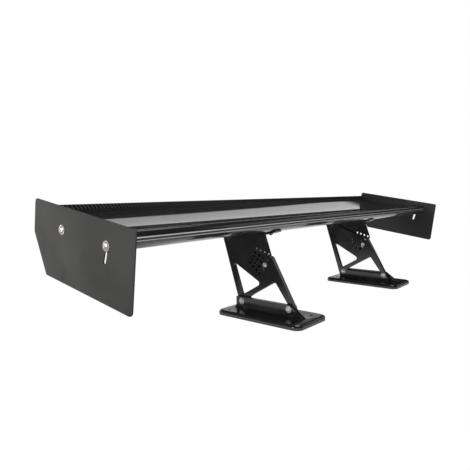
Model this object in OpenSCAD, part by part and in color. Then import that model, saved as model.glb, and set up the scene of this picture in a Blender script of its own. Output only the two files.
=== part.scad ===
// Racing rear wing: a carbon airfoil between two side plates, on two billet
// pedestals that bolt to a boot lid or a bumper beam.
// Millimetres. X runs across the car, Y runs towards the rear, Z is up.
// The origin is under the middle of the wing, on the face that it is bolted to.

/* [Stance] */
// Overall width over the outer faces of the side plates
span = 1549; // [1300:1:1700]
// Distance from the centre to the face where upright and base wall meet
pedestal_x = 292.2; // [250:0.1:400]
// Height of the side plates' front top corner
wing_height = 261.2; // [261.2:0.1:300]
// Fore and aft place of the side plates' front top corner
wing_front_y = -145.4; // [-150:0.1:-140]
// Rearward climb of the wing and its side plates, in degrees
wing_rake = 8.8; // [8:0.1:9.5]

/* [Side plates] */
// Thickness of a side plate
plate_t = 3; // [2:0.5:4]
// Length of the side plate's top edge
plate_len = 333; // [330:1:345]
// Height of the side plate at its front edge
plate_h = 151; // [130:1:160]
// Height of the square part of the plate's rear edge
plate_rear_h = 70; // [60:1:80]
// Length of the side plate's bottom edge
plate_foot = 279; // [260:1:300]
// Swing of the plate that its curved slot allows, in degrees
plate_swing = 12; // [6:1:14]
// Width of the curved slot
plate_slot_w = 7; // [6.6:0.1:8]

/* [Airfoil] */
// Thickness of the carbon skins
skin_t = 1.4; // [1:0.1:1.4]
// Thickness of the machined ribs at the wing's tips
end_rib_t = 12; // [8:1:16]
// Width of the ribs that carry the brackets
mount_rib_w = 30; // [26:1:34]
// Outer radius of the main spar tube
spar_r = 9; // [7:0.5:10]
// Height of the gurney strip over the trailing edge
gurney_rise = 11; // [6:1:14]
// Thickness of the gurney strip
gurney_t = 1.6; // [1.2:0.1:2]
// Number of rivets in the gurney's foot
gurney_rivet_count = 16; // [8:2:24]

/* [Pedestals] */
// Length of a base plate, front to rear
base_len = 256; // [240:1:260]
// Width of a base plate
base_w = 137; // [125:1:140]
// Thickness of a base plate
base_t = 12.7; // [10:0.1:12.7]
// Thickness of the wall that stands on the base
wall_t = 9.8; // [8:0.1:12]
// Thickness of an upright
upright_t = 12; // [10:0.5:16]
// Thickness of the airfoil bracket's web
web_t = 5; // [4:0.5:6]
// Thickness of the airfoil bracket's flange
flange_t = 5; // [4:0.5:5]
// Hole spacing across a base
base_hole_dx = 80; // [74:1:84]
// Hole spacing along a base
base_hole_dy = 200; // [190:1:204]
// Diameter of the base's bolt holes
base_hole_d = 8.5; // [6.6:0.1:9]

/* [Pitch adjustment] */
// Swing of the wing each way from rest, in degrees
pitch_swing = 8; // [4:1:8]
// Radius of the innermost ring of adjustment holes
grid_r = 96; // [94:0.5:98]
// Step between the rings of holes
grid_step = 13.5; // [12:0.5:13.5]
// Angle of the first row of holes below the horizontal
grid_angle = 16; // [15:0.5:17]
// Angle between rows of holes
grid_turn = 6.2; // [6:0.1:6.4]
// Diameter of the adjustment holes
grid_hole_d = 7.2; // [6.6:0.1:7.4]

/* [Hidden] */
$fn = 48;

gap = 0.3;          // between parts that move past each other
fit = 0.05;         // radial play of a bolt that a part turns on
gurney_bond = 0.25; // bond line between the trailing edge and the gurney strip
m6_r = 3;
m8_r = 4;
plate_face = span / 2;
tip_x = plate_face - plate_t - gap;

// Pitch pivot, in Y and Z
pivot = [68, 199];
boss_r = 25;
lock_r = grid_r + 3 * grid_step;
lock_angle = grid_angle + 2 * grid_turn;
lock = on_ring(lock_r, lock_angle);

// Side plate bolts, in the wing's own frame: rearward, up
plate_pivot = [225.3, -45.6];
plate_slot = [78.4, -44.7];

// Places across the right-hand pedestal, from the inside outwards
upright_in = pedestal_x - upright_t;
wall_out = pedestal_x + wall_t;
web_in = pedestal_x + gap;
web_out = web_in + web_t;
flange_in = 270;
screw_x = flange_in + 7.5;
base_centre = [pedestal_x - 1.2, -66.2];
wall_middle = pedestal_x + wall_t / 2;
foot_bolts = [[20.5, 30.2], [-128.2, 30.7]];
foot_washer_t = 1.6;
lock_washer_t = 1.2;
lock_in = upright_in - gap - lock_washer_t;
wall_top = 41.6;

// ---- Curves of the wing's section, in its own frame ----

nose = [46, -30];
trailing_top = [331, -27];
trailing_low = [331, -30.4];
nose_rise = [nose, [46, -24], [50.4, -14.7], [57, -14.7]];
deck_front = [[57, -14.7], [67, -14.7], [110, -35.5], [200, -35.5]];
deck_rear = [[200, -35.5], [245, -35.5], [290, -32.5], trailing_top];
belly_front = [nose, [46, -46], [80, -64], [132, -64]];
belly_rear = [[132, -64], [175, -64], [272, -54.5], trailing_low];

function unit(v) = v / norm(v);
function right_of(v) = [v[1], -v[0]];

// Point of a cubic Bezier curve, and its direction there
function bezier(c, t) = pow(1 - t, 3) * c[0] + 3 * pow(1 - t, 2) * t * c[1]
  + 3 * (1 - t) * t * t * c[2] + pow(t, 3) * c[3];
function heading(c, t) = unit(pow(1 - t, 2) * (c[1] - c[0])
  + 2 * (1 - t) * t * (c[2] - c[1]) + t * t * (c[3] - c[2]));

// Points along a curve, moved sideways to the right of its heading
function beside(c, shift, steps, from = 0, to = 1) = [for (i = [0:steps])
  let (t = from + (to - from) * i / steps) bezier(c, t) + shift * right_of(heading(c, t))];
function backwards(points) = [for (i = [len(points) - 1:-1:0]) points[i]];
function deck(depth) = concat(beside(nose_rise, depth, 8),
  beside(deck_front, depth, 14), beside(deck_rear, depth, 10));
function belly(depth) = concat(beside(belly_front, -depth, 16), beside(belly_rear, -depth, 12));

// From the wing's frame to the wing's place at rest, in Y and Z
function placed(p) = [
  wing_front_y + p[0] * cos(wing_rake) - p[1] * sin(wing_rake),
  wing_height + p[0] * sin(wing_rake) + p[1] * cos(wing_rake)];
function all_placed(points) = [for (p = points) placed(p)];

// A hole of the adjustment grid, forward of and below the pitch pivot
function on_ring(r, angle) = pivot - r * [cos(angle), sin(angle)];

// Closed outline with an arc at each corner
function cross_z(a, b) = a[0] * b[1] - a[1] * b[0];
function corner_arc(before, p, after, r, steps) =
  let (a = unit(before - p), b = unit(after - p), half = acos(a * b) / 2,
    centre = p + unit(a + b) * r / sin(half), start = p + a * r / tan(half) - centre,
    first = atan2(start[1], start[0]), turn = (180 - 2 * half) * sign(cross_z(b, a)))
  [for (i = [0:steps]) centre + r * [cos(first + turn * i / steps), sin(first + turn * i / steps)]];
function rounded(points, radii, steps = 8) = [for (i = [0:len(points) - 1])
  each corner_arc(points[(i + len(points) - 1) % len(points)], points[i],
    points[(i + 1) % len(points)], radii[i], steps)];
function arc(centre, r, from, to, steps) = [for (i = [0:steps])
  let (a = from + (to - from) * i / steps) centre + r * [cos(a), sin(a)]];

// ---- Shared shapes ----

// Draws a Y-Z outline and carries it across the car
module across(x0, x1) {
  translate([x0, 0, 0]) rotate([90, 0, 90]) linear_extrude(x1 - x0) children();
}

// Builds the right-hand part, or its mirror image on the left
module on_side(left) {
  if (left) mirror([1, 0, 0]) children();
  else children();
}

// Turns an upright fastener to point outboard, with its seat at x
module outboard(x, place) {
  translate([x, place[0], place[1]]) rotate([0, 90, 0]) children();
}

// The same, to point at the middle of the car
module inboard(x, place) {
  translate([x, place[0], place[1]]) rotate([0, -90, 0]) children();
}

// Every through screw is put in from the -X side, so that its head is outboard
// on the left pedestal and inboard on the right one; the nut is at the other end
module screw_end(left, inner_x, outer_x, place) {
  on_side(left)
    if (left) outboard(outer_x, place) children();
    else inboard(inner_x, place) children();
}

module nut_end(left, inner_x, outer_x, place) {
  on_side(left)
    if (left) inboard(inner_x, place) children();
    else outboard(outer_x, place) children();
}

module bore(r, place, x0, x1) {
  outboard(x0 - 1, place) cylinder(r = r, h = x1 - x0 + 2);
}

// Outline of a curved slot with round ends, about a centre
function curved_slot(centre, r, from, to, half_w) = concat(
  arc(centre, r + half_w, from, to, 12),
  arc(centre + r * [cos(to), sin(to)], half_w, to + 15, to + 165, 10),
  arc(centre, r - half_w, to, from, 12),
  arc(centre + r * [cos(from), sin(from)], half_w, from + 195, from + 345, 10));

module washer(r, hole_r, t) {
  difference() {
    cylinder(r = r, h = t);
    translate([0, 0, -1]) cylinder(r = hole_r, h = t + 2);
  }
}

// Domed socket screw, seated at z = 0 with its head above
module button_screw(shank_r, shank_len, head_r, head_h, key) {
  dome_r = (head_r * head_r + head_h * head_h) / (2 * head_h);
  rim = 0.4;
  difference() {
    union() {
      translate([0, 0, -shank_len]) cylinder(r = shank_r, h = shank_len + 0.5);
      rotate_extrude() polygon(concat([[0, 0], [head_r, 0]],
        [for (i = [0:6]) let (x = head_r * cos(15 * i))
          [x, rim + (sqrt(dome_r * dome_r - x * x) - dome_r + head_h) * (1 - rim / head_h)]]));
    }
    translate([0, 0, head_h * 0.4]) cylinder(r = key / 2 / cos(30), h = head_h, $fn = 6);
  }
}

// Self-locking nut standing on z = 0
module lock_nut(hole_r, key, h) {
  difference() {
    union() {
      cylinder(r = key / 2 / cos(30), h = h * 0.72, $fn = 6);
      cylinder(r = key * 0.46, h = h);
    }
    translate([0, 0, -1]) cylinder(r = hole_r, h = h + 2);
  }
}

// ---- Airfoil ----

module inner_section(depth) {
  polygon(all_placed(concat(deck(depth), backwards(belly(depth)))));
}

module spar_hole() {
  translate(placed([150, -48.5])) circle(spar_r);
}

module rear_spar_outline(play) {
  polygon(all_placed([[258 - play, -48], [262 + play, -47.4], [262 + play, -36.2 + play],
    [258 - play, -36.2 + play]]));
}

module rib(x0, x1, light) {
  across(x0, x1) difference() {
    intersection() {
      inner_section(skin_t);
      translate([-200, 0]) square([placed([300, 0])[0] + 200, 400]);
    }
    spar_hole();
    rear_spar_outline(0);
    if (light) translate(placed([105, -42])) circle(8);
    if (light) translate(placed([190, -47])) circle(6);
  }
}

module main_spar() {
  color([0.16, 0.16, 0.17]) across(-tip_x + 0.5, tip_x - 0.5) difference() {
    spar_hole();
    translate(placed([150, -48.5])) circle(spar_r - 2);
  }
}

module rear_spar() {
  color([0.16, 0.16, 0.17]) across(-tip_x + 0.5, tip_x - 0.5) rear_spar_outline(0);
}

module end_rib(left) {
  color([0.72, 0.73, 0.75]) on_side(left) difference() {
    rib(tip_x - end_rib_t, tip_x, false);
    for (p = [plate_pivot, plate_slot]) bore(m6_r, placed(p), tip_x - end_rib_t, tip_x);
  }
}

module mount_rib(left) {
  color([0.72, 0.73, 0.75]) on_side(left) difference() {
    rib(pedestal_x - mount_rib_w / 2 - 7, pedestal_x + mount_rib_w / 2 - 7, false);
    bracket_screw_places() translate([0, 0, -1]) cylinder(r = m6_r, h = 16);
  }
}

module centre_rib() {
  color([0.72, 0.73, 0.75]) rib(-3, 3, true);
}

module lower_skin() {
  color([0.07, 0.07, 0.08]) difference() {
    across(-tip_x, tip_x) polygon(all_placed(concat(belly(0), backwards(belly(skin_t)))));
    for (left = [true, false]) on_side(left) bracket_screw_places()
      translate([0, 0, -1]) cylinder(r = m6_r + 0.1, h = 4);
  }
}

module upper_skin() {
  color([0.07, 0.07, 0.08]) across(-tip_x, tip_x)
    polygon(all_placed(concat(deck(0), backwards(deck(skin_t)))));
}

// The strip stands behind the blunt trailing edge, on a foot under it
module gurney_flap() {
  back = heading(belly_rear, 1);
  down = right_of(back);
  corner = trailing_low + gurney_t * down;
  leg = trailing_low[0] + gurney_bond;
  color([0.1, 0.1, 0.11]) across(-tip_x, tip_x) polygon(all_placed([
    [leg, trailing_low[1]], [leg, trailing_top[1] + gurney_rise],
    [leg + gurney_t, trailing_top[1] + gurney_rise],
    [leg + gurney_t, corner[1]], corner, corner - 15 * back,
    trailing_low - 15 * back + 0.05 * down]));
}

module gurney_rivets() {
  back = heading(belly_rear, 1);
  seat = placed(trailing_low - 8 * back + gurney_t * right_of(back));
  slope = wing_rake + atan2(back[1], back[0]);
  color([0.75, 0.76, 0.78]) for (i = [0:gurney_rivet_count - 1])
    translate([(i + 0.5 - gurney_rivet_count / 2) * (span - 80) / gurney_rivet_count,
      seat[0], seat[1]]) rotate([180 + slope, 0, 0])
      rotate_extrude() polygon([[0, 0], [3.2, 0], [3, 0.5], [2, 1.0], [0, 1.2]]);
}

// ---- Side plates ----

module side_plate(left) {
  pin = placed(plate_pivot);
  toward = placed(plate_slot) - pin;
  slot_from = atan2(toward[1], toward[0]);
  color([0.25, 0.25, 0.26]) on_side(left) difference() {
    across(plate_face - plate_t, plate_face) difference() {
      polygon(all_placed(rounded(
        [[0, 0], [-5, -plate_h], [plate_foot, -plate_h], [plate_len, -plate_rear_h], [plate_len, 0]],
        [5, 9, 3, 6, 8])));
      polygon(curved_slot(pin, norm(toward), slot_from, slot_from + plate_swing, plate_slot_w / 2));
    }
    bore(m6_r + fit, pin, plate_face - plate_t, plate_face);
  }
}

module plate_bolt(left, place) {
  color([0.8, 0.79, 0.76]) on_side(left) outboard(plate_face + gap + 1.2, placed(place))
    button_screw(m6_r, 20, 7.5, 3.3, 4);
}

module plate_washers(left) {
  color([0.8, 0.79, 0.76]) on_side(left) for (p = [plate_pivot, plate_slot])
    outboard(plate_face + gap, placed(p)) washer(10, m6_r, 1.2);
}

// ---- Brackets and pitch adjustment ----

flange_from = 0.33;
flange_to = 0.62;

function flange_line(shift) = concat(beside(belly_front, shift, 10, flange_from, 1),
  beside(belly_rear, shift, 8, 0, flange_to));

module bracket(left) {
  hem = all_placed(flange_line(flange_t / 2));
  color([0.1, 0.1, 0.11]) on_side(left) difference() {
    union() {
      across(flange_in, web_out) polygon(all_placed(concat(flange_line(0.1),
        backwards(flange_line(flange_t)))));
      across(web_in, web_out) polygon(concat(
        [for (p = hem) if (p[0] > -54 && p[0] < 104) p],
        [[96, 205]], arc(pivot, 20, -10, -60, 6),
        arc(pivot, lock_r + 8, 225, 198, 8), [[-70, 161]]));
    }
    bore(m8_r + fit, pivot, web_in, web_out);
    for (ring = [0:3], row = [0:4])
      bore(grid_hole_d / 2, on_ring(grid_r + ring * grid_step, grid_angle + row * grid_turn),
        web_in, web_out);
    bracket_screw_places() translate([0, 0, -flange_t - 1]) cylinder(r = m6_r, h = flange_t + 2);
  }
}

// Puts the wing's surface at z = 0 under each screw of the right-hand bracket
module bracket_screw_places() {
  for (spot = [[belly_front, 0.62], [belly_front, 0.98], [belly_rear, 0.56]]) {
    place = placed(bezier(spot[0], spot[1]));
    way = heading(spot[0], spot[1]);
    translate([screw_x, place[0], place[1]]) rotate([wing_rake + atan2(way[1], way[0]), 0, 0])
      children();
  }
}

module bracket_screws(left) {
  color([0.2, 0.2, 0.21]) on_side(left) bracket_screw_places()
    translate([0, 0, -flange_t]) rotate([180, 0, 0]) button_screw(m6_r, 16, 5.25, 3.3, 4);
}

module lock_bolt(left) {
  color([0.8, 0.79, 0.76]) screw_end(left, lock_in, web_out + lock_washer_t, lock)
    button_screw(m6_r, web_out + lock_washer_t - lock_in + 8.8, 5.25, 3.3, 4);
}

module lock_washers(left) {
  color([0.8, 0.79, 0.76]) on_side(left) {
    outboard(web_out, lock) washer(6.2, m6_r, lock_washer_t);
    outboard(lock_in, lock) washer(6.2, m6_r, lock_washer_t);
  }
}

module lock_bolt_nut(left) {
  color([0.8, 0.79, 0.76]) nut_end(left, lock_in, web_out + lock_washer_t, lock)
    lock_nut(m6_r, 10, 6);
}

module pivot_bolt(left) {
  color([0.2, 0.2, 0.21]) screw_end(left, upright_in - foot_washer_t,
    web_out + gap + foot_washer_t, pivot)
    button_screw(m8_r, web_out + gap + 2 * foot_washer_t - upright_in + 9.4, 7, 4.4, 5);
}

module pivot_washers(left) {
  color([0.2, 0.2, 0.21]) on_side(left) {
    outboard(web_out + gap, pivot) washer(8, m8_r, foot_washer_t);
    outboard(upright_in - foot_washer_t, pivot) washer(8, m8_r, foot_washer_t);
  }
}

module pivot_nut(left) {
  color([0.2, 0.2, 0.21]) nut_end(left, upright_in - foot_washer_t,
    web_out + gap + foot_washer_t, pivot) lock_nut(m8_r, 13, 8);
}

// ---- Pedestals ----

module upright(left) {
  color([0.1, 0.1, 0.11]) on_side(left) difference() {
    across(upright_in, pedestal_x) difference() {
      union() {
        polygon(rounded([[33.5, base_t], [93.2, 195.4], [60, 199], [46, 197], [4, 177.5],
          [-69.5, 154.5], [-150, base_t]], [0.5, 2, 2, 2, 60, 4, 2]));
        translate(pivot) circle(boss_r);
      }
      polygon(rounded([[60.5, 134.3], [-37, 82.5], [29, 44]], [5.5, 7, 5]));
      polygon(rounded([[-80.3, 91.8], [-122, 36], [14.8, 36]], [6, 3.5, 3.5]));
      polygon(curved_slot(pivot, lock_r, 180 + lock_angle - pitch_swing - 0.5,
        180 + lock_angle + pitch_swing + 0.5, m6_r + gap));
    }
    bore(m8_r, pivot, upright_in, pedestal_x);
    for (hole = [[grid_r, 34], [grid_r + grid_step, 36], [grid_r + 2 * grid_step, 38],
      [grid_r + 2 * grid_step, 25.5]])
      bore(grid_hole_d / 2, on_ring(hole[0], hole[1]), upright_in, pedestal_x);
    for (p = foot_bolts) bore(m8_r, p, upright_in, pedestal_x);
  }
}

// Slab with round corners whose top edges are rounded all the way round
module eased_slab(w, l, t, corner, ease) {
  profile_steps = 8;
  corner_profile = concat([[0, 0], [corner, 0]],
    arc([corner - ease, t - ease], ease, 0, 90, profile_steps), [[0, t]]);
  translate([0, l / 2 - corner, 0]) rotate([90, 0, 0]) linear_extrude(l - 2 * corner)
    polygon(slab_profile(w, t, ease, profile_steps));
  translate([corner - w / 2, 0, 0]) rotate([90, 0, 90]) linear_extrude(w - 2 * corner)
    polygon(slab_profile(l, t, ease, profile_steps));
  for (sx = [-1, 1], sy = [-1, 1]) translate([sx * (w / 2 - corner), sy * (l / 2 - corner), 0])
    rotate_extrude() polygon(corner_profile);
}

function slab_profile(w, t, ease, steps) = concat([[-w / 2, 0], [w / 2, 0]],
  arc([w / 2 - ease, t - ease], ease, 0, 90, steps),
  arc([ease - w / 2, t - ease], ease, 90, 180, steps));

module base(left) {
  cove = 8;
  wall_front = -131;
  wall_rear = 40;
  wall_toe = -174;
  sunk = base_t - 1;
  color([0.1, 0.1, 0.11]) on_side(left) difference() {
    union() {
      translate([base_centre[0], base_centre[1], 0]) eased_slab(base_w, base_len, base_t, 20, 7);
      across(pedestal_x, wall_out) polygon(rounded([[wall_rear, sunk], [wall_rear, wall_top],
        [wall_front, wall_top], [wall_toe, sunk]], [0.5, 1.5, 3, 0.5]));
      intersection() {
        translate([wall_out, wall_rear, base_t]) rotate([90, 0, 0])
          linear_extrude(wall_rear - wall_toe) polygon(concat([[-1, -1], [cove, -1], [cove, 0]],
            arc([cove, cove], cove, 270, 180, 8), [[-1, cove]]));
        across(wall_out - 2, wall_out + cove + 1) polygon([[wall_rear, sunk - 1],
          [wall_rear, wall_top], [wall_front, wall_top], [wall_toe, sunk], [wall_toe, sunk - 1]]);
      }
    }
    for (sx = [-1, 1], sy = [-1, 1])
      translate([wall_middle + sx * base_hole_dx / 2, base_centre[1] + sy * base_hole_dy / 2, -1])
        cylinder(d = base_hole_d, h = base_t + 2);
    for (p = foot_bolts) bore(m8_r, p, pedestal_x, wall_out);
  }
}

module foot_bolt_pair(left) {
  color([0.8, 0.79, 0.76]) for (p = foot_bolts)
    screw_end(left, upright_in - foot_washer_t, wall_out + foot_washer_t, p)
      button_screw(m8_r, wall_out + 2 * foot_washer_t - upright_in + 9.4, 7, 4.4, 5);
}

module foot_washer_set(left) {
  color([0.8, 0.79, 0.76]) on_side(left) for (p = foot_bolts) {
    outboard(wall_out, p) washer(8.2, m8_r, foot_washer_t);
    outboard(upright_in - foot_washer_t, p) washer(8.2, m8_r, foot_washer_t);
  }
}

module foot_nut_pair(left) {
  color([0.8, 0.79, 0.76]) for (p = foot_bolts)
    nut_end(left, upright_in - foot_washer_t, wall_out + foot_washer_t, p) lock_nut(m8_r, 13, 8);
}

main_spar();
rear_spar();
end_rib(true);  // left_end_rib
end_rib(false);  // right_end_rib
mount_rib(true);  // left_mount_rib
mount_rib(false);  // right_mount_rib
centre_rib();
lower_skin();
upper_skin();
gurney_flap();
gurney_rivets();
side_plate(true);  // left_side_plate
side_plate(false);  // right_side_plate
plate_bolt(true, plate_pivot);  // left_plate_pivot_bolt
plate_bolt(false, plate_pivot);  // right_plate_pivot_bolt
plate_bolt(true, plate_slot);  // left_plate_slot_bolt
plate_bolt(false, plate_slot);  // right_plate_slot_bolt
plate_washers(true);  // left_plate_washers
plate_washers(false);  // right_plate_washers
bracket(true);  // left_bracket
bracket(false);  // right_bracket
bracket_screws(true);  // left_bracket_screws
bracket_screws(false);  // right_bracket_screws
lock_bolt(true);  // left_lock_bolt
lock_bolt(false);  // right_lock_bolt
lock_bolt_nut(true);  // left_lock_nut
lock_bolt_nut(false);  // right_lock_nut
lock_washers(true);  // left_lock_washers
lock_washers(false);  // right_lock_washers
pivot_bolt(true);  // left_pivot_bolt
pivot_bolt(false);  // right_pivot_bolt
pivot_nut(true);  // left_pivot_nut
pivot_nut(false);  // right_pivot_nut
pivot_washers(true);  // left_pivot_washers
pivot_washers(false);  // right_pivot_washers
upright(true);  // left_upright
upright(false);  // right_upright
base(true);  // left_base
base(false);  // right_base
foot_bolt_pair(true);  // left_foot_bolts
foot_bolt_pair(false);  // right_foot_bolts
foot_nut_pair(true);  // left_foot_nuts
foot_nut_pair(false);  // right_foot_nuts
foot_washer_set(true);  // left_foot_washers
foot_washer_set(false);  // right_foot_washers
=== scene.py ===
"""Looks of the racing rear wing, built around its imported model, in metres."""
import math

import bmesh
import bpy
import numpy as np
from mathutils import Matrix, Vector


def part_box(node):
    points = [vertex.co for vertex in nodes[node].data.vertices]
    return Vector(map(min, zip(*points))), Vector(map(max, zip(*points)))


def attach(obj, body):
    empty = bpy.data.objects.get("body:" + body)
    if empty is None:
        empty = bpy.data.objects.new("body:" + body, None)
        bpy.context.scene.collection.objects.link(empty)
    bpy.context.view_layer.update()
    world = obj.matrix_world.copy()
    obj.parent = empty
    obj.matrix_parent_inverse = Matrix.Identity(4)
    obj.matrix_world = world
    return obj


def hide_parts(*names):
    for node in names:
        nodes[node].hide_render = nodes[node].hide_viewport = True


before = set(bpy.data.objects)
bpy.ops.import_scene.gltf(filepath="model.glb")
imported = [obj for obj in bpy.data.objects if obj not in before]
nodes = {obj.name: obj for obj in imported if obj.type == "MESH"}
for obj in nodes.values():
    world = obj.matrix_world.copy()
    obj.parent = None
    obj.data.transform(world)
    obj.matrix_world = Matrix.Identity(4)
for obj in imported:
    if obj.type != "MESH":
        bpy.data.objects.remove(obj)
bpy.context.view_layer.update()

# ---- Camera ----
# Stands ahead of the left side plate, a little above the wing, and looks across
# the span towards the rear of the right-hand tip. The yaw is measured from +X.
EYE = (-1.2456, -0.7520, 0.3229)
YAW = math.radians(40.12)
LOOK_DOWN = math.radians(5.41)
ROLL = math.radians(-0.44)
camera_data = bpy.data.cameras.new("studio_camera")
camera_data.sensor_width = 36.0
camera_data.lens = 35.585
camera = bpy.data.objects.new("studio_camera", camera_data)
camera.matrix_world = (
    Matrix.Translation(EYE)
    @ Matrix.Rotation(YAW - math.pi / 2, 4, "Z")
    @ Matrix.Rotation(math.pi / 2 - LOOK_DOWN, 4, "X")
    @ Matrix.Rotation(ROLL, 4, "Z")
)
bpy.context.scene.collection.objects.link(camera)
bpy.context.scene.camera = camera
bpy.context.scene.view_settings.view_transform = "Standard"


# ---- Studio ----
# A white sweep under and behind the wing, and soft boxes. Mirrors see a paper
# backdrop, a band of lit floor and, elsewhere, a room that is nearly dark.
def put(tree, kind, inputs=None, **settings):
    """Adds a shader node; inputs holds values or the sockets that feed it."""
    made = tree.nodes.new("ShaderNode" + kind)
    for name, value in settings.items():
        setattr(made, name, value)
    for key, value in (inputs or {}).items():
        if isinstance(value, bpy.types.NodeSocket):
            tree.links.new(value, made.inputs[key])
        else:
            made.inputs[key].default_value = value
    return made


def calc(tree, operation, first, second=0.0, third=0.0):
    """A Math node's result."""
    return put(tree, "Math", {0: first, 1: second, 2: third}, operation=operation).outputs[0]


def smooth_step(tree, value, low, high):
    """Rises smoothly from 0 at low to 1 at high."""
    ramp = put(tree, "MapRange", {"Value": value, "From Min": low, "From Max": high},
               interpolation_type="SMOOTHSTEP")
    return ramp.outputs["Result"]


def along(tree, spot, x, y):
    """How far spot, a direction or a place, reaches along (x, y) as seen from above."""
    return calc(tree, "MULTIPLY_ADD", spot.outputs["X"], x,
                calc(tree, "MULTIPLY", spot.outputs["Y"], y))


# What mirrors show of the room, and what matt and glossy faces get from the lit floor
ROOM_GLOW = 0.03
PAPER_GLOW = 0.74
FLOOR_FOR_MATT = 0.30
FLOOR_FOR_GLOSSY = 0.75
world = bpy.data.worlds.new("studio")
bpy.context.scene.world = world
world.use_nodes = True
tree = world.node_tree
tree.nodes.clear()
way = put(tree, "SeparateXYZ", {0: put(tree, "TexCoord").outputs["Generated"]})
behind = along(tree, way, 0.76, 0.65)
paper_end = along(tree, way, -0.39, 0.92)
top_edge = calc(tree, "MULTIPLY_ADD", along(tree, way, 0.65, -0.76), 0.25, way.outputs["Z"])
below_top = calc(tree, "SUBTRACT", 1.0, smooth_step(tree, top_edge, 0.313, 0.325))
paper = calc(tree, "MULTIPLY", calc(tree, "MULTIPLY", smooth_step(tree, behind, -0.11, 0.32),
                                    smooth_step(tree, paper_end, -0.01, 0.02)), below_top)
room = calc(tree, "MULTIPLY_ADD", paper, PAPER_GLOW, ROOM_GLOW)
seen = put(tree, "LightPath").outputs["Is Camera Ray"]
glow = put(tree, "Mix", {0: seen, 2: room, 3: 1.0}, data_type="FLOAT")
light = put(tree, "Background", {"Strength": glow.outputs[0]})
light.inputs["Color"].default_value = (1, 1, 1, 1)
tree.links.new(light.outputs[0], put(tree, "OutputWorld").inputs["Surface"])

floor_mesh = bpy.data.meshes.new("floor")
floor_mesh.from_pydata([(-9, -9, 0), (9, -9, 0), (9, 9, 0), (-9, 9, 0)], [], [(0, 1, 2, 3)])
floor = bpy.data.objects.new("floor", floor_mesh)
bpy.context.scene.collection.objects.link(floor)
pale = bpy.data.materials.new("pale_floor")
pale.use_nodes = True
tree = pale.node_tree
shader = tree.nodes["Principled BSDF"]
shader.inputs["Base Color"].default_value = (0.02, 0.02, 0.02, 1)
shader.inputs["Roughness"].default_value = 1.0
shader.inputs["Specular IOR Level"].default_value = 0.0
shader.inputs["Emission Color"].default_value = (1, 1, 1, 1)
spot = put(tree, "SeparateXYZ", {0: put(tree, "TexCoord").outputs["Object"]})
to_left_rear = along(tree, spot, -0.76, 0.65)
lit = calc(tree, "MULTIPLY", smooth_step(tree, to_left_rear, -1.3, -0.7),
           calc(tree, "SUBTRACT", 1.0, smooth_step(tree, to_left_rear, 0.3, 0.6)))
rays = put(tree, "LightPath")
strength = calc(tree, "MULTIPLY_ADD", rays.outputs["Is Diffuse Ray"],
                FLOOR_FOR_MATT - FLOOR_FOR_GLOSSY, FLOOR_FOR_GLOSSY)
shown = calc(tree, "MULTIPLY_ADD", lit, strength, ROOM_GLOW)
glow = put(tree, "Mix", {0: rays.outputs["Is Camera Ray"], 2: shown, 3: 1.0}, data_type="FLOAT")
tree.links.new(glow.outputs[0], shader.inputs["Emission Strength"])
floor_mesh.materials.append(pale)


def soft_box(name, place, target, width, height, power, diffuse=True, glossy=True):
    """A rectangular lamp at place that faces target. It can be kept from lighting matt
    surfaces, with diffuse, or from showing in mirrors, with glossy."""
    lamp = bpy.data.lights.new(name, "AREA")
    lamp.shape, lamp.size, lamp.size_y, lamp.energy = "RECTANGLE", width, height, power
    holder = bpy.data.objects.new(name, lamp)
    holder.matrix_world = Matrix.Translation(place) @ (
        Vector(target) - Vector(place)).to_track_quat("-Z", "Y").to_matrix().to_4x4()
    holder.visible_camera = False
    holder.visible_diffuse = diffuse
    holder.visible_glossy = glossy
    bpy.context.scene.collection.objects.link(holder)


soft_box("overhead_box", (0.2, -0.3, 2.6), (0.0, 0.0, 0.2), 3.0, 1.4, 30)
soft_box("left_fill", (-1.35, 0.42, 0.15), (-0.77, 0.05, 0.2), 0.4, 0.4, 13, glossy=False)
soft_box("left_card", (-2.9, 0.35, 0.55), (-0.77, 0.0, 0.2), 0.8, 0.8, 28, diffuse=False)
soft_box("right_card", (2.6, -1.4, 1.4), (0.0, -0.1, 0.1), 2.0, 1.0, 4, diffuse=False)
soft_box("front_fill", (-1.2, -1.6, 0.3), (-0.3, -0.1, 0.2), 0.5, 0.5, 15, glossy=False)


# ---- Airfoil skins ----
# Two shells of twill carbon, laid up in moulds and bonded along the nose and the
# trailing edge over ribs and spars, then clear-coated and polished.
SKIN = 0.0014
WING_RAKE = math.radians(8.8)
NOSE = (0.046, -0.030)
TRAILING_TOP = (0.331, -0.027)
TRAILING_LOW = (0.331, -0.0304)
nose_rise = (NOSE, (0.046, -0.024), (0.0504, -0.0147), (0.057, -0.0147))
deck_front = ((0.057, -0.0147), (0.067, -0.0147), (0.110, -0.0355), (0.200, -0.0355))
deck_rear = ((0.200, -0.0355), (0.245, -0.0355), (0.290, -0.0325), TRAILING_TOP)
belly_front = (NOSE, (0.046, -0.046), (0.080, -0.064), (0.132, -0.064))
belly_rear = ((0.132, -0.064), (0.175, -0.064), (0.272, -0.0545), TRAILING_LOW)


def bezier(curve, t):
    """Cubic Bezier: the four points weighed by (1-t)^3, 3(1-t)^2 t, 3(1-t)t^2 and t^3."""
    a, b, c, d = (np.array(p)[None, :] for p in curve)
    t = np.asarray(t)[:, None]
    return (1 - t) ** 3 * a + 3 * (1 - t) ** 2 * t * b + 3 * (1 - t) * t * t * c + t ** 3 * d


def heading(curve, t):
    """Unit direction of the curve, from the differences of its four points."""
    a, b, c, d = (np.array(p)[None, :] for p in curve)
    t = np.asarray(t)[:, None]
    way = (1 - t) ** 2 * (b - a) + 2 * (1 - t) * t * (c - b) + t * t * (d - c)
    return way / np.linalg.norm(way, axis=1, keepdims=True)


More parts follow.
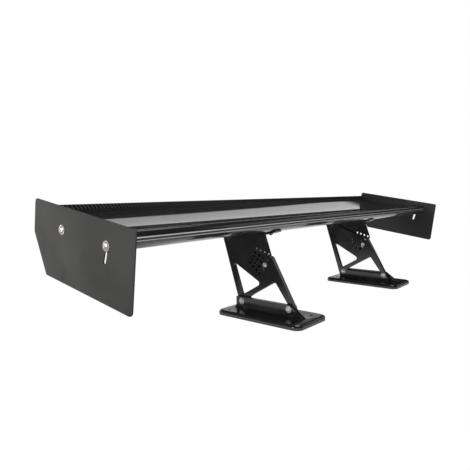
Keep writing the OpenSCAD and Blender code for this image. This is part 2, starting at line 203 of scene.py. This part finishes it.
def beside(curve, shift, steps):
    """Points of the curve, each moved by shift to the right of its direction."""
    t = np.linspace(0, 1, steps + 1)
    way = heading(curve, t)
    return bezier(curve, t) + shift * np.column_stack([way[:, 1], -way[:, 0]])


def chained(*runs):
    """Runs of points joined end to end, with the shared points kept once."""
    return np.vstack([runs[0]] + [r[1:] for r in runs[1:]])


def raked(points):
    """Turns the wing's own rearward and up axes into Y and Z."""
    c, s = math.cos(WING_RAKE), math.sin(WING_RAKE)
    return np.column_stack([points[:, 0] * c - points[:, 1] * s, points[:, 0] * s + points[:, 1] * c])


def deck(depth):
    """Upper outline from the nose to the trailing edge, that deep under the surface."""
    return chained(beside(nose_rise, depth, 24), beside(deck_front, depth, 56),
                   beside(deck_rear, depth, 28))


def belly(depth):
    """Lower outline from the nose to the trailing edge, that deep under the surface."""
    return chained(beside(belly_front, -depth, 64), beside(belly_rear, -depth, 44))


skin_low = np.array(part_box("lower_skin")[0])[1:]
wing_corner = skin_low - raked(np.vstack([belly(0), belly(SKIN)])).min(axis=0)


def placed(points):
    """From the wing's own frame to Y and Z at rest."""
    return wing_corner + raked(np.asarray(points, float).reshape(-1, 2))


def grid_quads(rows, cols, close_rows=False):
    """Corners of the quads of a grid of points whose last column joins its first, and
    each corner's row and column."""
    r, c = np.meshgrid(np.arange(rows - 1 + close_rows), np.arange(cols), indexing="ij")
    r, c = r.ravel(), c.ravel()
    row = np.column_stack([r, r, r + 1, r + 1])
    col = np.column_stack([c, c + 1, c + 1, c])
    return (row % rows) * cols + col % cols, row, col


def build(name, points, faces, uv):
    """Makes a mesh piece; its faces are turned round if its volume comes out negative."""
    a, b, c, d = (points[faces[:, k]] for k in (0, 1, 2, -1))
    volume = np.einsum("ij,ij->", a, np.cross(b, c)) + np.einsum("ij,ij->", a, np.cross(c, d))
    if volume < 0:
        faces = faces[:, ::-1]
        uv = uv[:, ::-1]
    made = bpy.data.meshes.new(name)
    made.from_pydata(points.tolist(), [], faces.tolist())
    layer = made.uv_layers.new(name="weave")
    layer.data.foreach_set("uv", uv.reshape(-1).astype(np.float32))
    made.shade_smooth()
    made.set_sharp_from_angle(angle=math.radians(35))
    piece = bpy.data.objects.new(name, made)
    bpy.context.scene.collection.objects.link(piece)
    return piece


def swept(name, outline, x0, x1, stations):
    """An outline in Y and Z carried along X from x0 to x1, with a shared UV in metres:
    the distance round the outline, and X. Each end is closed by quads between the
    outline's first half and its second half, counted backwards."""
    x = np.linspace(x0, x1, stations)
    n = len(outline)
    points = np.empty((stations, n, 3))
    points[:, :, 0] = x[:, None]
    points[:, :, 1:] = outline[None]
    side, row, col = grid_quads(stations, n)
    ring = np.vstack([outline, outline[:1]])
    travel = np.concatenate([[0], np.cumsum(np.linalg.norm(np.diff(ring, axis=0), axis=1))])
    uv = np.stack([travel[col], x[row]], axis=-1)
    k = np.arange(n // 2 - 1)
    cap = np.column_stack([k, k + 1, n - 2 - k, n - 1 - k])
    far = (stations - 1) * n + cap[:, ::-1]
    caps = np.vstack([cap, far])
    cap_uv = np.stack([travel[caps % n], np.zeros(caps.shape)], axis=-1)
    return build(name, points.reshape(-1, 3), np.vstack([side, caps]), np.vstack([uv, cap_uv]))


def finish_piece(piece, materials, slot, body, *replaced):
    """Gives a piece its materials and its place in the model."""
    piece.data.materials.clear()
    for material in materials:
        piece.data.materials.append(material)
    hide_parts(*replaced)
    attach(piece, body)


def new_group(name, inputs, outputs):
    """An empty shader group; inputs and outputs are (name, kind, value) and (name, kind)."""
    group = bpy.data.node_groups.new(name, "ShaderNodeTree")
    for label, kind, value in inputs:
        socket = group.interface.new_socket(label, in_out="INPUT", socket_type="NodeSocket" + kind)
        if value is not None:
            socket.default_value = value
    for label, kind in outputs:
        group.interface.new_socket(label, in_out="OUTPUT", socket_type="NodeSocket" + kind)
    return group, group.nodes.new("NodeGroupInput"), group.nodes.new("NodeGroupOutput")


# Two-by-two twill: tows of one direction pass over two and under two of the other,
# and each row is shifted by one tow, which makes the diagonal.
twill, given, result = new_group(
    "twill_weave",
    [("Place", "Vector", None), ("Tow", "Float", 0.002)],
    [("Over", "Float"), ("Crown", "Float"), ("Fibre", "Float")],
)
scaled = put(twill, "VectorMath", {0: given.outputs["Place"], "Scale": calc(
    twill, "DIVIDE", 1.0, given.outputs["Tow"])}, operation="SCALE")
cell = put(twill, "SeparateXYZ", {0: scaled.outputs[0]})
step_u = calc(twill, "FLOOR", cell.outputs["X"])
step_v = calc(twill, "FLOOR", cell.outputs["Y"])
over = calc(twill, "LESS_THAN", calc(twill, "FLOORED_MODULO", calc(
    twill, "ADD", step_u, step_v), 4.0), 1.5)
hump_u = calc(twill, "SINE", calc(twill, "MULTIPLY", calc(
    twill, "FRACT", cell.outputs["X"]), math.pi))
hump_v = calc(twill, "SINE", calc(twill, "MULTIPLY", calc(
    twill, "FRACT", cell.outputs["Y"]), math.pi))
crown = put(twill, "Mix", {0: over, 2: hump_v, 3: hump_u}, data_type="FLOAT")
strands_u = put(twill, "TexNoise", {"Vector": put(twill, "VectorMath", {
    0: scaled.outputs[0], 1: (9.0, 0.5, 1.0)}, operation="MULTIPLY").outputs[0],
    "Scale": 1.0, "Detail": 2.0})
strands_v = put(twill, "TexNoise", {"Vector": put(twill, "VectorMath", {
    0: scaled.outputs[0], 1: (0.5, 9.0, 1.0)}, operation="MULTIPLY").outputs[0],
    "Scale": 1.0, "Detail": 2.0})
strands = put(twill, "Mix", {0: over, 2: strands_v.outputs[0], 3: strands_u.outputs[0]},
              data_type="FLOAT")
twill.links.new(over, result.inputs["Over"])
twill.links.new(crown.outputs[0], result.inputs["Crown"])
twill.links.new(strands.outputs[0], result.inputs["Fibre"])

# Slow variation left by polishing and handling, in metres on the object.
handled, given, result = new_group(
    "handling_marks",
    [("Size", "Float", 0.08), ("Low", "Float", 0.1), ("High", "Float", 0.2)],
    [("Roughness", "Float"), ("Cloud", "Float")],
)
cloud = put(handled, "TexNoise", {
    "Vector": put(handled, "TexCoord").outputs["Object"],
    "Scale": calc(handled, "DIVIDE", 1.0, given.outputs["Size"]), "Detail": 5.0, "Roughness": 0.62})
fine = smooth_step(handled, cloud.outputs[0], 0.32, 0.70)
spread = calc(handled, "SUBTRACT", given.outputs["High"], given.outputs["Low"])
handled.links.new(calc(handled, "MULTIPLY_ADD", fine, spread, given.outputs["Low"]),
                  result.inputs["Roughness"])
handled.links.new(fine, result.inputs["Cloud"])


def new_material(name):
    """A material with its Principled shader, and the shader's inputs."""
    made = bpy.data.materials.new(name)
    made.use_nodes = True
    return made, made.node_tree, made.node_tree.nodes["Principled BSDF"]


def grouped(tree, group, inputs):
    """Adds a shader group to a material."""
    return put(tree, "Group", inputs, node_tree=group)


def mixed(tree, share, first, second):
    """Colour between first and second."""
    return put(tree, "Mix", {0: share, 6: first, 7: second}, data_type="RGBA").outputs[2]


def carbon(name, dark, light, roughness, coat, coat_roughness, depth, highlight_lines=(), tow=0.002):
    """Twill carbon under resin: dark and light tows, seen through a clear coat. Each stripe in the
    last list is a thin pale line painted into the colour at a place round the outline. It is a
    painted highlight of the lamps on the nose."""
    made, tree, shader = new_material(name)
    place = put(tree, "UVMap", uv_map="weave").outputs[0]
    weave = grouped(tree, twill, {"Place": place, "Tow": tow})
    marks = grouped(tree, handled, {"Size": 0.12, "Low": roughness * 0.8, "High": roughness * 1.25})
    tone = mixed(tree, weave.outputs["Over"], dark, light)
    shade = calc(tree, "MULTIPLY_ADD", weave.outputs["Fibre"], 1.2, 0.4)
    colour = put(tree, "VectorMath", {0: tone, "Scale": shade}, operation="SCALE").outputs[0]
    round_way = put(tree, "SeparateXYZ", {0: place})
    # Thin pale stripes painted into the colour: painted highlights standing for lamps reflected on
    # the nose
    for highlight_place, width, highlight_colour in highlight_lines:
        away = calc(tree, "ABSOLUTE", calc(tree, "SUBTRACT", round_way.outputs["X"], highlight_place))
        colour = mixed(tree, smooth_step(tree, away, width, width * 0.5), colour, highlight_colour)
    tree.links.new(colour, shader.inputs["Base Color"])
    tree.links.new(marks.outputs["Roughness"], shader.inputs["Roughness"])
    relief = put(tree, "Bump", {"Height": weave.outputs["Crown"], "Distance": depth,
                                "Strength": 0.6})
    tree.links.new(relief.outputs[0], shader.inputs["Normal"])
    shader.inputs["Specular IOR Level"].default_value = 0.1
    shader.inputs["Coat Weight"].default_value = coat
    shader.inputs["Coat Roughness"].default_value = coat_roughness
    return made


# Dark and light tows, roughness, coat and its roughness, and depth of the weave
CLEAR_COATED = ((0.008, 0.008, 0.009, 1), (0.016, 0.016, 0.018, 1), 0.45, 1.0, 0.02, 0.0001)
# Each painted nose highlight line's place round the outline, half its width, and its colour
UPPER_NOSE_HIGHLIGHT = (0.0033, 0.0015, (0.6, 0.6, 0.6, 1))
LOWER_NOSE_HIGHLIGHT = (0.0030, 0.0013, (0.38, 0.38, 0.38, 1))
upper_carbon = carbon("upper_carbon", *CLEAR_COATED, highlight_lines=[UPPER_NOSE_HIGHLIGHT])
lower_carbon = carbon("lower_carbon", *CLEAR_COATED, highlight_lines=[LOWER_NOSE_HIGHLIGHT])

tip_low, tip_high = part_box("upper_skin")
upper = swept("airfoil_upper_skin", placed(np.vstack([deck(0), deck(SKIN)[::-1]])),
              tip_low.x, tip_high.x, 24)
finish_piece(upper, [upper_carbon], "gloss_carbon", "airfoil", "upper_skin")
lower = swept("airfoil_lower_skin", placed(np.vstack([belly(0), belly(SKIN)[::-1]])),
              tip_low.x, tip_high.x, 24)
finish_piece(lower, [lower_carbon], "gloss_carbon", "airfoil", "lower_skin")


# ---- Gurney strip ----
# A thin angle of twill carbon behind the trailing edge; its foot is bonded and
# riveted under the lower skin, and its top edge is sanded round.
GURNEY = 0.0016
GURNEY_BOND = 0.00025
GURNEY_RISE = 0.011
GURNEY_FOOT = 0.015
CORNER_STEPS = 5


def rounded(points, radii):
    """A closed outline whose corners are arcs tangent to both edges."""
    points = np.asarray(points, float)
    turns = []
    for p, before, after, r in zip(points, np.roll(points, 1, 0), np.roll(points, -1, 0), radii):
        a, b = (before - p), (after - p)
        a, b = a / np.linalg.norm(a), b / np.linalg.norm(b)
        half = math.acos(np.clip(a @ b, -1, 1)) / 2
        middle = (a + b) / np.linalg.norm(a + b)
        centre = p + middle * r / math.sin(half)
        begin = p + a * r / math.tan(half) - centre
        sweep = (math.pi - 2 * half) * np.sign(b[0] * a[1] - b[1] * a[0])
        angle = math.atan2(begin[1], begin[0]) + sweep * np.linspace(0, 1, CORNER_STEPS + 1)
        turns.append(centre + r * np.column_stack([np.cos(angle), np.sin(angle)]))
    return np.vstack(turns)


trail = heading(belly_rear, [1.0])[0]
below = np.array([trail[1], -trail[0]])
low = np.array(TRAILING_LOW)
top_z = TRAILING_TOP[1] + GURNEY_RISE
corner = low + GURNEY * below
leg = low[0] + GURNEY_BOND
strip = rounded(
    [(leg, low[1]), (leg, top_z), (leg + GURNEY, top_z), (leg + GURNEY, corner[1]), corner,
     corner - GURNEY_FOOT * trail, low - GURNEY_FOOT * trail + 0.00005 * below],
    [0.0002, 0.0007, 0.0007, 0.0006, 0.0006, 0.0004, 0.0002])
strip = np.roll(strip, CORNER_STEPS + 1, axis=0)
gurney_carbon = carbon("gurney_carbon", (0.006, 0.006, 0.0065, 1), (0.085, 0.085, 0.087, 1),
                       0.42, 0.3, 0.15, 0.0002, tow=0.0025)
gurney = swept("gurney_strip", placed(strip), tip_low.x, tip_high.x, 24)
finish_piece(gurney, [gurney_carbon], "gurney_carbon", "airfoil", "gurney_flap")


# ---- Ribs, spars and rivets ----
# Machined aluminium ribs slide over a carbon tube and a carbon bar inside the
# skins; aluminium rivets hold the gurney's foot.
def metal(name, colour, roughness, metallic, size=0.03, scratch=0.0):
    """Machined or rolled metal with slow marks and, if scratch is set, fine cutter lines."""
    made, tree, shader = new_material(name)
    marks = grouped(tree, handled, {"Size": size, "Low": roughness * 0.75, "High": roughness * 1.3})
    shade = calc(tree, "MULTIPLY_ADD", marks.outputs["Cloud"], 0.16, 0.92)
    tone = put(tree, "VectorMath", {0: colour, "Scale": shade}, operation="SCALE")
    tree.links.new(tone.outputs[0], shader.inputs["Base Color"])
    tree.links.new(marks.outputs["Roughness"], shader.inputs["Roughness"])
    shader.inputs["Metallic"].default_value = metallic
    if scratch:
        place = put(tree, "TexCoord").outputs["Object"]
        lines = put(tree, "TexNoise", {"Vector": put(tree, "VectorMath", {
            0: place, 1: (900.0, 60.0, 900.0)}, operation="MULTIPLY").outputs[0],
            "Scale": 1.0, "Detail": 3.0})
        relief = put(tree, "Bump", {"Height": lines.outputs[0], "Distance": scratch,
                                    "Strength": 0.35})
        tree.links.new(relief.outputs[0], shader.inputs["Normal"])
    return made


bare_aluminium = metal("bare_aluminium", (0.62, 0.63, 0.65), 0.32, 1.0, 0.03, 0.00004)
rivet_aluminium = metal("rivet_aluminium", (0.60, 0.61, 0.63), 0.26, 1.0, 0.01)
carbon_tube = metal("carbon_tube", (0.02, 0.02, 0.021), 0.4, 0.0, 0.02, 0.00004)


def dress(node, material):
    """Gives a CAD node's own mesh a material."""
    nodes[node].data.materials.clear()
    nodes[node].data.materials.append(material)


for rib in ("left_end_rib", "right_end_rib", "left_mount_rib", "right_mount_rib", "centre_rib"):
    dress(rib, bare_aluminium)
for spar in ("main_spar", "rear_spar"):
    dress(spar, carbon_tube)
dress("gurney_rivets", rivet_aluminium)


# ---- Side plates ----
# Sheet cut to outline with a pivot hole and a curved slot, edges broken with a
# file, then finished satin black; each hangs on two screws in the wing's tip.
def eased(node, name, width):
    """A copy of a CAD node whose sharp edges are broken; its flat faces are merged first."""
    source = bmesh.new()
    source.from_mesh(nodes[node].data)
    bmesh.ops.remove_doubles(source, verts=source.verts, dist=1e-6)
    bmesh.ops.dissolve_limit(source, angle_limit=math.radians(0.5), verts=source.verts,
                             edges=source.edges, use_dissolve_boundaries=False)
    made = bpy.data.meshes.new(name)
    source.to_mesh(made)
    source.free()
    made.materials.clear()
    made.shade_smooth()
    made.set_sharp_from_angle(angle=math.radians(28))
    piece = bpy.data.objects.new(name, made)
    bpy.context.scene.collection.objects.link(piece)
    edge = piece.modifiers.new("broken_edges", "BEVEL")
    edge.width, edge.segments, edge.limit_method = width, 3, "ANGLE"
    edge.angle_limit = math.radians(28)
    edge.use_clamp_overlap = True
    edge.harden_normals = True
    edge.material = 1
    return piece


def satin_black(name, colour, roughness, grain):
    """Satin black sheet: slow cloudy marks and a fine matt grain."""
    made, tree, shader = new_material(name)
    marks = grouped(tree, handled, {"Size": 0.10, "Low": roughness * 0.85, "High": roughness * 1.2})
    place = put(tree, "TexCoord").outputs["Object"]
    pores = put(tree, "TexNoise", {"Vector": place, "Scale": 1400.0, "Detail": 2.0})
    tone = put(tree, "VectorMath", {0: colour, "Scale": calc(
        tree, "MULTIPLY_ADD", marks.outputs["Cloud"], 0.2, 0.9)}, operation="SCALE")
    tree.links.new(tone.outputs[0], shader.inputs["Base Color"])
    tree.links.new(marks.outputs["Roughness"], shader.inputs["Roughness"])
    relief = put(tree, "Bump", {"Height": pores.outputs[0], "Distance": grain, "Strength": 0.3})
    tree.links.new(relief.outputs[0], shader.inputs["Normal"])
    shader.inputs["Specular IOR Level"].default_value = 0.35
    return made


plate_satin = satin_black("plate_satin", (0.031, 0.0306, 0.0295), 0.46, 0.00006)
plate_edge = satin_black("plate_edge", (0.028, 0.028, 0.027), 0.42, 0.00006)
for side in ("left", "right"):
    plate = eased(side + "_side_plate", side + "_plate", 0.0005)
    finish_piece(plate, [plate_satin, plate_edge], "satin_plate", side + "_plate",
                 side + "_side_plate")


# ---- Pedestals and brackets ----
# Bases, uprights and brackets are milled from aluminium billet, edges broken, then
# black anodised and polished; the brackets bolt under the lower skin.
def black_anodised(name, colour, roughness, scratch):
    """Anodised billet: a dark glossy oxide with fine cutter lines and handling marks."""
    made, tree, shader = new_material(name)
    marks = grouped(tree, handled, {"Size": 0.06, "Low": roughness * 0.7, "High": roughness * 1.4})
    place = put(tree, "TexCoord").outputs["Object"]
    lines = put(tree, "TexNoise", {"Vector": put(tree, "VectorMath", {
        0: place, 1: (700.0, 40.0, 700.0)}, operation="MULTIPLY").outputs[0],
        "Scale": 1.0, "Detail": 3.0})
    tone = put(tree, "VectorMath", {0: colour, "Scale": calc(
        tree, "MULTIPLY_ADD", marks.outputs["Cloud"], 0.3, 0.85)}, operation="SCALE")
    tree.links.new(tone.outputs[0], shader.inputs["Base Color"])
    tree.links.new(marks.outputs["Roughness"], shader.inputs["Roughness"])
    relief = put(tree, "Bump", {"Height": lines.outputs[0], "Distance": scratch, "Strength": 0.25})
    tree.links.new(relief.outputs[0], shader.inputs["Normal"])
    shader.inputs["IOR"].default_value = 1.7
    return made


billet = black_anodised("black_billet", (0.0105, 0.0105, 0.0107), 0.17, 0.00002)
billet_edge = black_anodised("black_billet_edge", (0.012, 0.012, 0.0125), 0.25, 0.00002)
for side in ("left", "right"):
    for part, body, width in (("base", "pedestals", 0.0006), ("upright", "pedestals", 0.0006),
                              ("bracket", "airfoil", 0.0004)):
        piece = eased(f"{side}_{part}", f"{side}_milled_{part}", width)
        finish_piece(piece, [billet, billet_edge], "black_billet", body, f"{side}_{part}")


# ---- Fasteners ----
# Domed socket screws, washers and self-locking nuts, turned or rolled in stainless
# steel; the pitch pivots and the brackets' own screws are steel in black oxide.
SIDES = 72
around = np.linspace(0, 2 * math.pi, SIDES, endpoint=False)
# Radius and height of the head, key, and radius of the shank
PLATE_SCREW = (0.0075, 0.0033, 0.004, 0.003)
M6_SCREW = (0.00525, 0.0033, 0.004, 0.003)
M8_SCREW = (0.007, 0.0044, 0.005, 0.004)
M6_PITCH, M8_PITCH = 0.001, 0.00125
# How far a through screw reaches past the face that its nut bears on
M6_PAST, M8_PAST = 0.0088, 0.0094
# Bore, width across flats and height
M6_NUT = (0.003, 0.010, 0.006)
M8_NUT = (0.004, 0.013, 0.008)
# Outer radius, radius of the hole and thickness
PLATE_WASHER = (0.010, 0.003, 0.0012)
LOCK_WASHER = (0.0062, 0.003, 0.0012)
PIVOT_WASHER = (0.008, 0.004, 0.0016)
FOOT_WASHER = (0.0082, 0.004, 0.0016)


def hexagon(flats):
    """Radius of a hexagon of that width across flats, at each angle around."""
    return flats / 2 / np.cos((around + math.pi / 6) % (math.pi / 3) - math.pi / 6)


def rings(*pairs):
    """Stacks (radius, height) pairs, each a number or one value for each angle."""
    r = np.array([np.broadcast_to(p[0], SIDES) for p in pairs], float)
    z = np.array([np.broadcast_to(p[1], SIDES) for p in pairs], float)
    return r, z


def screw_rings(head_r, head_h, key, shank_r, length, pitch):
    """Profile of a domed socket screw: socket floor, hexagon wall, a dome that is an arc
    through the rim and the top, the shank, and a thread whose depth follows a cosine of
    the height less one pitch a turn."""
    dome = (head_r ** 2 + head_h ** 2) / (2 * head_h)
    rim = 0.12 * head_h
    mouth = key / math.sqrt(3) * 1.05

    def top(r):
        return rim + (np.sqrt(dome ** 2 - r ** 2) - dome + head_h) * (1 - rim / head_h)

    pairs = [(0.0, head_h * 0.36), (hexagon(key) * 0.98, head_h * 0.42),
             (hexagon(key), head_h * 0.45), (hexagon(key), top(mouth) - 0.04 * head_h),
             (mouth, top(mouth))]
    pairs += [(r, top(r)) for r in mouth + (head_r * 0.995 - mouth) * np.linspace(0.06, 1, 14)]
    pairs += [(head_r, rim * 0.8), (head_r, rim * 0.3), (head_r * 0.985, 0.0), (shank_r, 0.0)]
    thread = -np.arange(max(length - 12 * pitch, 0.002), length - 0.5 * pitch, pitch / 7)
    pairs += [(shank_r, thread[0] + pitch / 2)]
    pairs += [(shank_r - 0.3 * pitch * (1 - np.cos(2 * math.pi * z / pitch - around)), z)
              for z in thread]
    pairs += [(shank_r * 0.78, -length), (0.0, -length)]
    return rings(*pairs)


def ring_rows(r, z):
    """Points of a turned shape standing on its own Z axis."""
    return np.stack([r * np.cos(around), r * np.sin(around), z], axis=-1)


def washer_rings(outer, inner, thick, crown=0.0):
    """A ring whose cross-section has round edges; crown lifts its middle."""
    e = thick * 0.25
    return rings((inner, 0.0), (outer - e, 0.0), (outer, e), (outer, thick - crown - e),
                 (outer - e, thick - crown), ((outer + inner) / 2, thick - crown * 0.35),
                 (inner + e, thick), (inner, thick - e))


def nut_rings(bore, key, height):
    """A hexagon cut by a cone at both ends, with the round collar of its locking ring."""
    hexa = hexagon(key)
    return rings((bore, 0.0), (key * 0.46, 0.0), (np.minimum(hexa, key * 0.49), 0.0),
                 (np.minimum(hexa, key * 0.54), height * 0.08), (hexa, height * 0.14),
                 (hexa, height * 0.60), (np.minimum(hexa, key * 0.54), height * 0.66),
                 (np.minimum(hexa, key * 0.49), height * 0.72), (key * 0.43, height * 0.73),
                 (key * 0.43, height * 0.90), (key * 0.41, height * 0.97), (key * 0.38, height),
                 (bore * 1.08, height * 0.99), (bore, height * 0.95))


def turned(name, shapes):
    """Joins turned shapes into one piece. Each is (radii, heights, place, axis, closed):
    a closed one is a ring, and the others end at their axis."""
    points, faces, start = [], [], 0
    for r, z, place, axis, closed in shapes:
        axis = Vector(axis).normalized()
        turn = np.array(axis.to_track_quat("Z", "Y").to_matrix())
        rows = ring_rows(r, z)
        quads, _, _ = grid_quads(len(rows), SIDES, close_rows=closed)
        if not closed:
            last = (len(rows) - 1) * SIDES
            quads = np.where(quads < SIDES, 0, np.where(quads >= last, last, quads))
        local = rows.reshape(-1, 3)
        a, b, c, d = (local[quads[:, k]] for k in range(4))
        volume = np.einsum("ij,ij->", a, np.cross(b, c)) + np.einsum("ij,ij->", a, np.cross(c, d))
        if volume < 0:
            quads = quads[:, ::-1]
        used, index = np.unique(quads, return_inverse=True)
        points.append(local[used] @ turn.T + np.array(place))
        faces += [list(dict.fromkeys(f)) for f in (index.reshape(quads.shape) + start).tolist()]
        start += len(used)
    made = bpy.data.meshes.new(name)
    made.from_pydata(np.vstack(points).tolist(), [], faces)
    made.shade_smooth()
    made.set_sharp_from_angle(angle=math.radians(32))
    piece = bpy.data.objects.new(name, made)
    bpy.context.scene.collection.objects.link(piece)
    return piece


stainless = metal("stainless", (0.84, 0.81, 0.75), 0.34, 0.78, 0.008)
black_steel = metal("black_oxide", (0.012, 0.012, 0.0125), 0.4, 0.0, 0.008)


def middle(node):
    """Centre of a node's box."""
    low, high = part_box(node)
    return (low + high) / 2


def pair_places(node, radius):
    """Centres of the two fasteners in a node: one at its rear, lower; one at its front, higher."""
    low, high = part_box(node)
    return [(high.y - radius, low.z + radius), (low.y + radius, high.z - radius)]


def across(node):
    """The node's least and greatest X."""
    low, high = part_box(node)
    return low.x, high.x


HEAD_WAY = (-1, 0, 0)
NUT_WAY = (1, 0, 0)


def through_set(side, pieces, replaced, spots, kind, washer, finish, body):
    """Screws right through along X, with heads towards -X, a washer at each end and the
    nuts. Pieces and replaced name the screws, washers and nuts in turn; kind holds the
    screw, its pitch, its reach past the nut's seat and the nut."""
    screw, pitch, past, nut = kind
    material, slot = finish
    near, far = across(f"{side}_{replaced[1]}")
    screws, discs, nuts = [], [], []
    for y, z in spots:
        screws.append((*screw_rings(*screw, far - near + past, pitch), (near, y, z), HEAD_WAY,
                       False))
        discs.append((*washer_rings(*washer), (near, y, z), NUT_WAY, True))
        discs.append((*washer_rings(*washer), (far, y, z), HEAD_WAY, True))
        nuts.append((*nut_rings(*nut), (far, y, z), NUT_WAY, True))
    for piece, node, shapes in zip(pieces, replaced, (screws, discs, nuts)):
        finish_piece(turned(f"{side}_{piece}", shapes), [material], slot, body, f"{side}_{node}")


M6 = (M6_SCREW, M6_PITCH, M6_PAST, M6_NUT)
M8 = (M8_SCREW, M8_PITCH, M8_PAST, M8_NUT)
BRIGHT = (stainless, "stainless")
DARK = (black_steel, "black_steel")
for side, out in (("left", -1), ("right", 1)):
    # Side plate screws: M6, on 20 mm domed washers
    plate_seat = min(abs(x) for x in across(side + "_plate_washers"))
    screws, discs = [], []
    for node in ("plate_pivot_bolt", "plate_slot_bolt"):
        spot = middle(f"{side}_{node}")
        screws.append((*screw_rings(*PLATE_SCREW, 0.020, M6_PITCH),
                       (out * (plate_seat + PLATE_WASHER[2]), spot.y, spot.z), (out, 0, 0), False))
        discs.append((*washer_rings(*PLATE_WASHER, crown=0.0003),
                      (out * plate_seat, spot.y, spot.z), (out, 0, 0), True))
    finish_piece(turned(side + "_plate_screws", screws), [stainless], "stainless", "airfoil",
                 side + "_plate_pivot_bolt", side + "_plate_slot_bolt")
    finish_piece(turned(side + "_plate_discs", discs), [stainless], "stainless", "airfoil",
                 side + "_plate_washers")

    # Lock bolt, through the bracket's grid and the upright's slot
    spot = middle(side + "_lock_bolt")
    through_set(side, ("pitch_lock_screw", "pitch_lock_discs", "pitch_lock_nut"),
                ("lock_bolt", "lock_washers", "lock_nut"), [(spot.y, spot.z)], M6, LOCK_WASHER,
                BRIGHT, "airfoil")

    # Pitch pivot, through the bracket and the upright's boss
    spot = middle(side + "_pivot_bolt")
    through_set(side, ("pitch_pivot_screw", "pitch_pivot_discs", "pitch_pivot_nut"),
                ("pivot_bolt", "pivot_washers", "pivot_nut"), [(spot.y, spot.z)], M8,
                PIVOT_WASHER, DARK, "pedestals")

    # Lower clamp screws, through the base's wall and the upright
    through_set(side, ("foot_screws", "foot_discs", "foot_lock_nuts"),
                ("foot_bolts", "foot_washers", "foot_nuts"),
                pair_places(side + "_foot_bolts", M8_SCREW[0]), M8, FOOT_WASHER, BRIGHT,
                "pedestals")
    dress(side + "_bracket_screws", black_steel)
